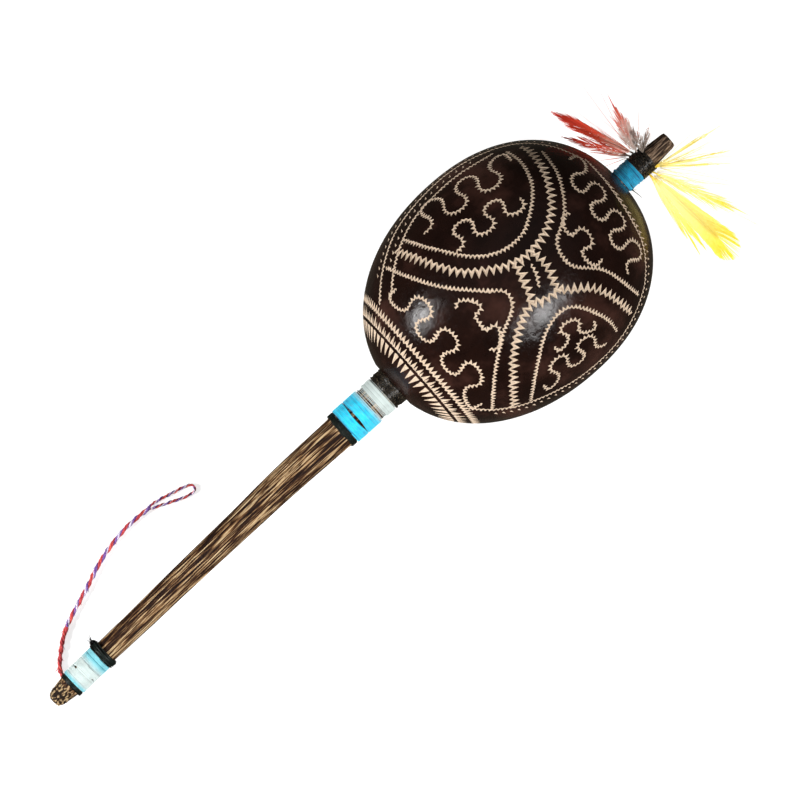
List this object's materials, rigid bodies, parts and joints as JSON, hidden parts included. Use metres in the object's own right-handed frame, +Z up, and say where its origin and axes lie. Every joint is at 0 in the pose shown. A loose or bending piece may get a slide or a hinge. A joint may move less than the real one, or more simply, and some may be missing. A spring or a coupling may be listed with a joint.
{
  "type": "gourd rattle",
  "caption": "Gourd rattle on a palm-wood stick with thread windings, feathers, loose seeds inside and a wrist cord, lying on its side.",
  "frame": {"origin": "on the surface the rattle lies on, under the middle of its own box, the wrist cord left out", "axes": "+X along the stick from the wrist cord's end to the crown, +Y to the side where the wrist cord and the red feathers are, +Z up"},
  "size_m": [0.3473, 0.1013, 0.1015],
  "materials": {
    "gourd": "smoked dark brown rind, waxed, with cut cream lines",
    "palm_wood": "shaved, satin, dark with pale streaks",
    "black_resin": "satin pitch",
    "blue_thread": "cotton thread, slight sheen",
    "white_thread": "cotton thread",
    "cyan_thread": "cotton thread",
    "black_thread": "waxed thread",
    "red_feather": "soft barbs",
    "grey_feather": "soft barbs",
    "yellow_feather": "soft barbs",
    "cord_thread": "twisted cotton, red, violet and white",
    "seed": "hard smooth seed coat"
  },
  "bodies": {
    "root": {"crown_thread_end": "black_thread", "crown_thread_tangle": "black_thread", "crown_winding_black": "black_thread", "crown_winding_blue": "blue_thread", "gourd_shell": "gourd", "neck_resin_band": "black_resin", "neck_winding_black": "black_thread", "neck_winding_blue": "blue_thread", "neck_winding_fine": "white_thread", "neck_winding_white": "white_thread", "palm_stick": "palm_wood", "tail_knot": "black_thread", "tail_winding_black_lower": "black_thread", "tail_winding_black_upper": "black_thread", "tail_winding_cyan_lower": "cyan_thread", "tail_winding_cyan_upper": "cyan_thread", "tail_winding_white": "white_thread", "wrist_cord": "cord_thread", "wrist_loop": "cord_thread"},
    "feather_red_long": {"feather_red_long": "red_feather"},
    "feather_red_low": {"feather_red_low": "red_feather"},
    "feather_red_upright": {"feather_red_upright": "red_feather"},
    "feather_grey_tuft": {"feather_grey_tuft": "grey_feather"},
    "feather_yellow_broad": {"feather_yellow_broad": "yellow_feather"},
    "feather_yellow_mid": {"feather_yellow_mid": "yellow_feather"},
    "feather_yellow_wispy": {"feather_yellow_wispy": "yellow_feather"},
    "seed_01": {"seed_01": "seed"},
    "seed_02": {"seed_02": "seed"},
    "seed_03": {"seed_03": "seed"},
    "seed_04": {"seed_04": "seed"},
    "seed_05": {"seed_05": "seed"},
    "seed_06": {"seed_06": "seed"},
    "seed_07": {"seed_07": "seed"},
    "seed_08": {"seed_08": "seed"},
    "seed_09": {"seed_09": "seed"},
    "seed_10": {"seed_10": "seed"},
    "seed_11": {"seed_11": "seed"},
    "seed_12": {"seed_12": "seed"}
  },
  "joints": [
    {"name": "feather_red_long_flex", "type": "hinge", "parent": "root", "child": "feather_red_long", "pos_m": [0.13863, 0.00373, 0.06573], "axis": [-0.8996, -0.4367, 0], "range_deg": [-8, 5], "stiffness_Nm_per_rad": 0.01},
    {"name": "feather_red_low_flex", "type": "hinge", "parent": "root", "child": "feather_red_low", "pos_m": [0.1377, 0.00407, 0.06319], "axis": [-0.8264, -0.5631, 0], "range_deg": [-5, 3], "stiffness_Nm_per_rad": 0.01},
    {"name": "feather_red_upright_flex", "type": "hinge", "parent": "root", "child": "feather_red_upright", "pos_m": [0.13944, 0.00265, 0.0677], "axis": [-0.9836, 0.1802, 0], "range_deg": [-8, 8], "stiffness_Nm_per_rad": 0.01},
    {"name": "feather_grey_tuft_flex", "type": "hinge", "parent": "root", "child": "feather_grey_tuft", "pos_m": [0.14049, 0.00062, 0.06933], "axis": [-0.5077, 0.8616, 0], "range_deg": [-8, 8], "stiffness_Nm_per_rad": 0.01},
    {"name": "feather_yellow_broad_flex", "type": "hinge", "parent": "root", "child": "feather_yellow_broad", "pos_m": [0.13855, -0.00615, 0.0614], "axis": [0.9802, 0.198, 0], "range_deg": [-6, 6], "stiffness_Nm_per_rad": 0.01},
    {"name": "feather_yellow_mid_flex", "type": "hinge", "parent": "root", "child": "feather_yellow_mid", "pos_m": [0.13953, -0.00675, 0.06361], "axis": [0.8856, 0.4644, 0], "range_deg": [-6, 6], "stiffness_Nm_per_rad": 0.01},
    {"name": "feather_yellow_wispy_flex", "type": "hinge", "parent": "root", "child": "feather_yellow_wispy", "pos_m": [0.14097, -0.00649, 0.06624], "axis": [0.4998, 0.8661, 0], "range_deg": [-6, 6], "stiffness_Nm_per_rad": 0.01},
    {"name": "seed_01_slide", "type": "slide", "parent": "root", "child": "seed_01", "axis": [0, 0, 1], "range_m": [0, 0.03043]},
    {"name": "seed_02_slide", "type": "slide", "parent": "root", "child": "seed_02", "axis": [0, 0, 1], "range_m": [0, 0.03249]},
    {"name": "seed_03_slide", "type": "slide", "parent": "root", "child": "seed_03", "axis": [0, 0, 1], "range_m": [0, 0.03395]},
    {"name": "seed_04_slide", "type": "slide", "parent": "root", "child": "seed_04", "axis": [0, 0, 1], "range_m": [0, 0.03486]},
    {"name": "seed_05_slide", "type": "slide", "parent": "root", "child": "seed_05", "axis": [0, 0, 1], "range_m": [0, 0.03299]},
    {"name": "seed_06_slide", "type": "slide", "parent": "root", "child": "seed_06", "axis": [0, 0, 1], "range_m": [0, 0.03494]},
    {"name": "seed_07_slide", "type": "slide", "parent": "root", "child": "seed_07", "axis": [0, 0, 1], "range_m": [0, 0.03632]},
    {"name": "seed_08_slide", "type": "slide", "parent": "root", "child": "seed_08", "axis": [0, 0, 1], "range_m": [0, 0.03329]},
    {"name": "seed_09_slide", "type": "slide", "parent": "root", "child": "seed_09", "axis": [0, 0, 1], "range_m": [0, 0.03494]},
    {"name": "seed_10_slide", "type": "slide", "parent": "root", "child": "seed_10", "axis": [0, 0, 1], "range_m": [0, 0.03602]},
    {"name": "seed_11_slide", "type": "slide", "parent": "root", "child": "seed_11", "axis": [0, 0, 1], "range_m": [0, 0.0845]},
    {"name": "seed_12_slide", "type": "slide", "parent": "root", "child": "seed_12", "axis": [0, 0, 1], "range_m": [0, 0.0833]}
  ]
}
